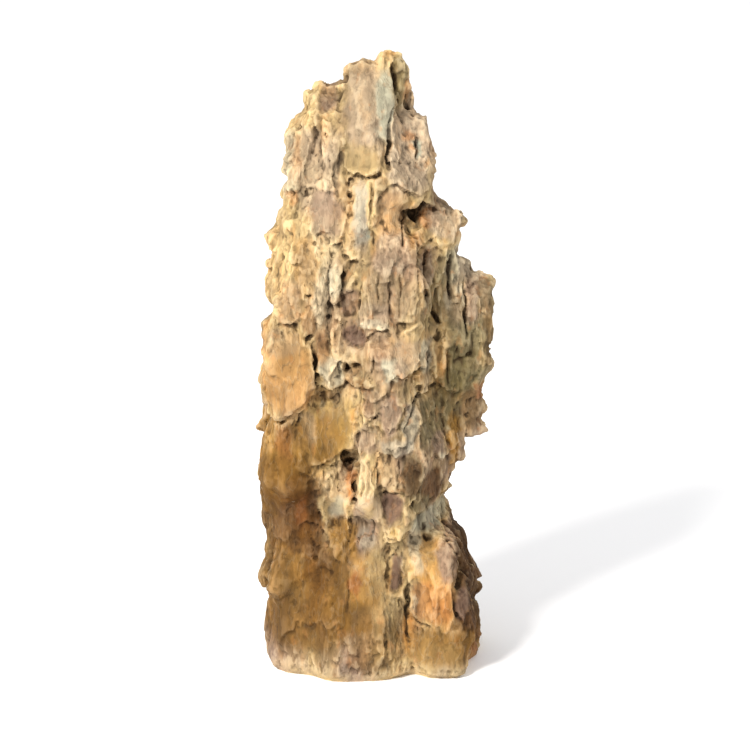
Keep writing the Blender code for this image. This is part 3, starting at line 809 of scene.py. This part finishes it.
def add_plate(relief, tone, across, up, x, z, half_width, half_height, rise, lean=0, turn=0):
    """The relief and the tones with one more plate laid over them."""
    reach, height = patch_reach(across, up, x, z, half_width, half_height, turn)
    edge = (1 - reach) * min(half_width, half_height)
    level = rise - lean * np.clip(height, -1, 1)
    own, other = np.where(edge > 0, (level, relief), (relief, level))
    soft = smoothstep(*SOFT_TOP, height / np.maximum(reach, TINY))
    own_tone = math.sin(TONE_WAVES[0] * x + TONE_WAVES[1] * z) / 2
    tone = np.where(edge > 0, (1 - OWN_TONE_SHARE) * tone + OWN_TONE_SHARE * own_tone, tone)
    return stepped(own * MM, other * MM, np.abs(edge) * MM, soft) / MM, tone


def placed_relief(across, up, tone):
    """The show face's plates, lips and pits, in millimetres outwards, and the tones with the plates'."""
    relief = np.zeros(len(across))
    for plate in PLATES.values():
        relief, tone = add_plate(relief, tone, across, up, *plate)
    for rise, depth, width, *line in LIPS.values():
        reach, side, fade = line_reach(across, up, line)
        above = rise * np.clip(1 - reach / (LIP_SPREAD * width), 0, 1) * fade
        below = -depth * np.clip(1 - reach / width, 0, 1) ** UNDERCUT_ROUNDING * fade
        relief += np.where(side > 0, above, below)
    for *place, depth in PITS.values():
        relief -= depth * patch_share(across, up, *place, PIT_EDGE, power=2)
    return relief, tone


def calmness(points, across, up, show):
    """How smooth each place is, from 0 to 1: by the calm faces on the show face, and by noise elsewhere."""
    calm = np.zeros(len(across))
    for *place, strength in CALM_FACES.values():
        calm = np.maximum(calm, strength * patch_share(across, up, *place, CALM_EDGE))
    elsewhere = MOST_CALM * smoothstep(*CALM_STARTS, noise_at(points, *CALM))
    return calm * show + elsewhere * (1 - show)


def crease_relief(across, up):
    """The show face's cracks and ridges, in millimetres outwards."""
    relief = np.zeros(len(across))
    for height, width, *line in CREASES.values():
        reach, _, fade = line_reach(across, up, line)
        relief += height * np.clip(1 - reach / width, 0, 1) * fade
    return relief


def carve(mesh):
    """The plates, scales, lips and hollows from a few millimetres up. Returns the places' tones."""
    points = pulled(blurred(mesh_points(mesh), mesh_edges(mesh), BASE_ROUNDS))
    move_points(mesh, points)
    normals = mesh_normals(mesh)
    foot = smoothstep(0, FOOT_FADE, points[:, 2])
    show = show_face(normals, *RELIEF_SHOWS)
    broad, broad_tone = scales(points, *BROAD_SCALES)
    medium, medium_tone = scales(points, *MEDIUM_SCALES)
    general = broad + medium - WORN
    across, up = wandered(points, PLATE_WANDER)
    tone = BROAD_TONE_SHARE * broad_tone + (1 - BROAD_TONE_SHARE) * medium_tone
    placed, tone = placed_relief(across, up, tone)
    placed *= MM * show
    general *= (1 - (1 - SHOW_FACE_SHARE) * show) * (1 - calmness(points, across, up, show))
    ways = normals * (1 - FORWARDS * show[:, None]) + np.array((0, -FORWARDS, 0)) * show[:, None]
    ways /= np.linalg.norm(ways, axis=1)[:, None]
    moved = points + normals * (general * foot)[:, None] + ways * (placed * foot)[:, None]
    moved[:, 2] -= DROOP * np.clip(general + placed, 0, None) * foot
    move_points(mesh, kept_in(moved))
    return tone


def weather(mesh):
    """The small scales, cracks, ribs and grain."""
    points = mesh_points(mesh)
    normals = mesh_normals(mesh)
    foot = smoothstep(0, FOOT_FADE, points[:, 2])
    show = show_face(normals, *RELIEF_SHOWS)
    across, up = wandered(points, CREASE_WANDER)
    relief, _ = scales(points, *SMALL_SCALES)
    ribs = np.clip(1 - RIB_SHARPNESS * np.abs(noise_at(points, *RIBS)), 0, 1)
    relief += RIB_HEIGHT * ribs**2
    relief *= 1 - calmness(points, across, up, show)
    relief += crease_relief(across, up) * MM * show
    relief += GRAIN_HEIGHT * noise_at(points, *GRAIN)
    points += normals * (relief * foot)[:, None]
    points[:, 2] = np.where(points[:, 2] < FOOT_FLAT, 0, points[:, 2])
    move_points(mesh, kept_in(points))


def paint(mesh):
    """The show face's patches of tint, some of them painted shade, as a colour and a share for the material
    to lay over its own.
    """
    points = mesh_points(mesh)
    show = show_face(mesh_normals(mesh), *PAINT_SHOWS)
    across, up = wandered(points, PATCH_WANDER)
    tint = np.tile(TAN, (len(points), 1))
    share = np.zeros(len(points))
    for colour, *place, strength in PATCHES:
        weight = strength * patch_share(across, up, *place, PATCH_EDGE) * show
        share_after = share + (1 - share) * weight
        blend = np.divide(weight, share_after, out=np.zeros_like(weight), where=share_after > 0)
        tint += (np.array(colour) - tint) * blend[:, None]
        share = share_after
    attribute = mesh.attributes.new("patch_tint", "FLOAT_COLOR", "POINT")
    attribute.data.foreach_set("color", tint.astype(np.float32).ravel())
    add_value(mesh, "patch_share", share)
    add_value(mesh, "calm", calmness(points, across, up, show))


def add_value(mesh, name, values):
    attribute = mesh.attributes.new(name, "FLOAT", "POINT")
    attribute.data.foreach_set("value", values.astype(np.float32))


def record_relief(mesh):
    """How far each point stands out from the surface round it, near and wide, for the material, which
    paints highlight on crests and shade in hollows from it.
    """
    points = mesh_points(mesh)
    normals = mesh_normals(mesh)
    edges = mesh_edges(mesh)
    smooth = points
    for name, (rounds, height) in RELIEF_BANDS.items():
        smooth = blurred(smooth, edges, rounds)
        add_value(mesh, name, ((points - smooth) * normals).sum(1) / height)


def record_tones(mesh, source, tones):
    """Gives each point the tone of the nearest point of the mesh it was made from."""
    tree = kdtree.KDTree(len(source.vertices))
    for number, vertex in enumerate(source.vertices):
        tree.insert(vertex.co, number)
    tree.balance()
    add_value(mesh, "plate_tone", tones[[tree.find(vertex.co)[1] for vertex in mesh.vertices]] + 0.5)


def stone_piece():
    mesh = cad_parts["stone"].data.copy()
    rough = remeshed(mesh, ROUGH_VOXEL)
    tones = carve(rough)
    fine = remeshed(rough, FINE_VOXEL)
    weather(fine)
    fine = lightened(fine, MOST_TRIANGLES)
    drop_crumbs(fine)
    record_relief(fine)
    record_tones(fine, rough, tones)
    paint(fine)
    fine.name = "dragon_stone"
    fine.shade_smooth()
    fine.set_sharp_from_angle(angle=SHARP)
    fine.materials.clear()
    fine.materials.append(stone_material())
    return new_object("dragon_stone", fine)


class Nodes:
    """A material's node tree, with short ways to add and join its nodes."""

    def __init__(self, material):
        material.use_nodes = True
        self.tree = material.node_tree
        self.shader = self.tree.nodes["Principled BSDF"]

    def new(self, kind, **settings):
        node = self.tree.nodes.new(kind)
        for name, value in settings.items():
            setattr(node, name, value)
        return node

    def feed(self, socket, value):
        if isinstance(value, bpy.types.NodeSocket):
            self.tree.links.new(value, socket)
        else:
            socket.default_value = value

    def math(self, operation, a, b=0.0):
        node = self.new("ShaderNodeMath", operation=operation)
        self.feed(node.inputs[0], a)
        self.feed(node.inputs[1], b)
        return node.outputs[0]

    def ramp(self, value, stops):
        """Stops are (place, grey or colour)."""
        node = self.new("ShaderNodeValToRGB")
        elements = node.color_ramp.elements
        while len(elements) > 1:
            elements.remove(elements[-1])
        elements[0].position = stops[0][0]
        for place, _ in stops[1:]:
            elements.new(place)
        for element, (_, tone) in zip(elements, stops):
            element.color = (tone, tone, tone, 1) if isinstance(tone, float) else tone
        self.feed(node.inputs[0], value)
        return node.outputs[0]

    def mix(self, share, base, tint):
        """The base with a share of the tint, which is a socket or a colour."""
        node = self.new("ShaderNodeMix", data_type="RGBA")
        for number, value in zip(MIX_INPUTS, (share, base, tint)):
            self.feed(node.inputs[number], value)
        return node.outputs[MIX_OUTPUT]

    def span(self, value, low, high, to_low, to_high):
        """The value's place between low and high, as a number from to_low to to_high."""
        node = self.new("ShaderNodeMapRange")
        for socket, what in zip(node.inputs[:5], (value, low, high, to_low, to_high)):
            self.feed(socket, what)
        return node.outputs[0]

    def scaled(self, colour, factor):
        node = self.new("ShaderNodeVectorMath", operation="SCALE")
        self.feed(node.inputs[0], colour)
        self.feed(node.inputs["Scale"], factor)
        return node.outputs[0]

    def luminance(self, colour):
        node = self.new("ShaderNodeRGBToBW")
        self.feed(node.inputs[0], colour)
        return node.outputs[0]

    def laid(self, share, most, base, tint):
        """The base with a share of a tint laid over it, less where most is low."""
        return self.mix(self.math("MULTIPLY", share, most), base, tint)

    def value(self, name, output="Fac"):
        """What the mesh's attribute of that name holds: a number or, with output "Color", a colour."""
        return self.new("ShaderNodeAttribute", attribute_name=name).outputs[output]

    def noise(self, place, name):
        """One of the material's noises, from about 0 to 1."""
        upwards, shift, *settings = NOISES[name]
        mapping = self.new("ShaderNodeMapping")
        self.feed(mapping.inputs["Vector"], place)
        mapping.inputs["Scale"].default_value = (1, 1, upwards)
        mapping.inputs["Location"].default_value = shift
        node = self.new("ShaderNodeTexNoise")
        self.feed(node.inputs["Vector"], mapping.outputs[0])
        for socket, value in zip(("Scale", "Detail", "Roughness", "Distortion"), settings):
            node.inputs[socket].default_value = value
        return node.outputs[0]

    def calmed(self, noise, rough):
        """The noise, drawn in towards its middle where the surface is not rough."""
        return self.math("ADD", 0.5, self.math("MULTIPLY", self.math("SUBTRACT", noise, 0.5), rough))

    def lines(self, noise, width):
        """Thin lines along which the noise is at its middle: 1 along them, 0 away from them."""
        away = self.math("ABSOLUTE", self.math("SUBTRACT", noise, 0.5))
        return self.ramp(away, [(0.0, 1.0), (width, 0.0)])

    def total(self, values, weights):
        """The sum of the values, each times its weight."""
        result = 0.0
        for value, weight in zip(values, weights):
            result = self.math("ADD", result, self.math("MULTIPLY", value, weight))
        return result


def stone_material():
    material = bpy.data.materials.new("weathered_clay_rock")
    n = Nodes(material)
    place = n.new("ShaderNodeTexCoord").outputs["Object"]
    rough = n.math("SUBTRACT", 1.0, n.math("MULTIPLY", n.value("calm"), CALM_CONTRAST))
    measures = {name: n.noise(place, name) for name in NOISES}
    fibres = n.calmed(measures["fibres"], rough)
    ridges = n.lines(measures["ridges"], RIDGE_WIDTH)
    relief = (n.value("near_relief"), n.value("wide_relief"))
    measures["plate_tone"] = n.value("plate_tone")
    measures["fibres"] = fibres
    measures["calm_streaks"] = n.calmed(measures["streaks"], rough)
    # Crest and hollow, coarse and fine, drive painted highlight and painted shade below
    measures["crest"] = n.math("MULTIPLY", n.total(relief, CREST_WEIGHTS), rough)
    measures["hollow"] = n.math("MULTIPLY", n.total(relief, HOLLOW_WEIGHTS), rough)
    measures["fine_painted_highlight"] = measures["fine_painted_shade"] = n.value("fine_relief")

    # The rock's own colour and its patches, some of them painted shade, then streaks, spots, pale crests
    # and ridges, and dark hollows
    base = n.ramp(measures["patches"], BASE_TINTS)
    base = n.mix(n.value("patch_share"), base, n.value("patch_tint", "Color"))
    pale = n.span(n.luminance(base), *PALE)
    # The cream on crests below is partly the pale rock, partly painted highlight
    for tint, name, *stops in OVERLAYS:
        base = n.laid(n.ramp(measures[name], stops), pale, base, tint)
    base = n.laid(n.math("MULTIPLY", ridges, RIDGE_SHARE), pale, base, CREAM)
    # Umber in the hollows: partly the brown clay there, partly painted shade
    base = n.mix(n.ramp(measures["hollow"], HOLLOW_SHARES), base, UMBER)

    # Lighter on crests and edges (painted highlight), darker in hollows and crevices (painted shade)
    light = 1.0
    for name, span in LIGHTNESS.items():
        light = n.math("MULTIPLY", light, n.span(measures[name], *span))
    n.feed(n.shader.inputs["Base Color"], n.scaled(base, n.math("MINIMUM", light, LIGHTEST)))
    n.feed(n.shader.inputs["Roughness"], n.ramp(fibres, ROUGHNESS))
    n.shader.inputs["Specular IOR Level"].default_value = SPECULAR
    bump = n.new("ShaderNodeBump")
    bump.inputs["Strength"].default_value = BUMP_STRENGTH
    bump.inputs["Distance"].default_value = BUMP_HEIGHT
    n.feed(bump.inputs["Height"], n.total((fibres, ridges, measures["grain"]), BUMP_WEIGHTS))
    n.feed(n.shader.inputs["Normal"], bump.outputs[0])
    return material


def aimed(holder, place):
    """The camera or light, put there and turned to the stone."""
    holder.location = place
    holder.rotation_mode = "QUATERNION"
    holder.rotation_quaternion = (LOOK_AT - Vector(place)).to_track_quat("-Z", "Y")
    return holder


def place_camera():
    camera = bpy.data.cameras.new("camera")
    camera.sensor_width = SENSOR_MM
    camera.lens = SENSOR_MM * PHOTO_LENS_PX / FRAME_PX * CLOSER
    bpy.context.scene.camera = aimed(new_object("camera", camera), camera_place())


def add_floor():
    mesh = bpy.data.meshes.new("floor")
    corners = [(FLOOR_HALF * x, FLOOR_HALF * y, 0) for x, y in ((-1, -1), (1, -1), (1, 1), (-1, 1))]
    mesh.from_pydata(corners, [], [(0, 1, 2, 3)])
    material = bpy.data.materials.new("pale_floor")
    shader = Nodes(material).shader
    shader.inputs["Base Color"].default_value = FLOOR_COLOUR
    shader.inputs["Roughness"].default_value = FLOOR_ROUGHNESS
    mesh.materials.append(material)
    floor = new_object("floor", mesh)


def add_light(name, place, size, power, colour):
    light = bpy.data.lights.new(name, "AREA")
    light.shape = "DISK"
    light.size = size
    light.energy = power
    light.color = colour
    aimed(new_object(name, light), place)


def light_studio():
    world = bpy.data.worlds.new("studio")
    bpy.context.scene.world = world
    world.use_nodes = True
    background = world.node_tree.nodes["Background"]
    background.inputs["Color"].default_value = SKY_COLOUR
    background.inputs["Strength"].default_value = 1.0
    add_light("key", **KEY_LIGHT)
    bpy.context.scene.view_settings.view_transform = "Standard"


stone = stone_piece()
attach(stone, "root")
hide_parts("stone")
add_floor()
light_studio()
place_camera()
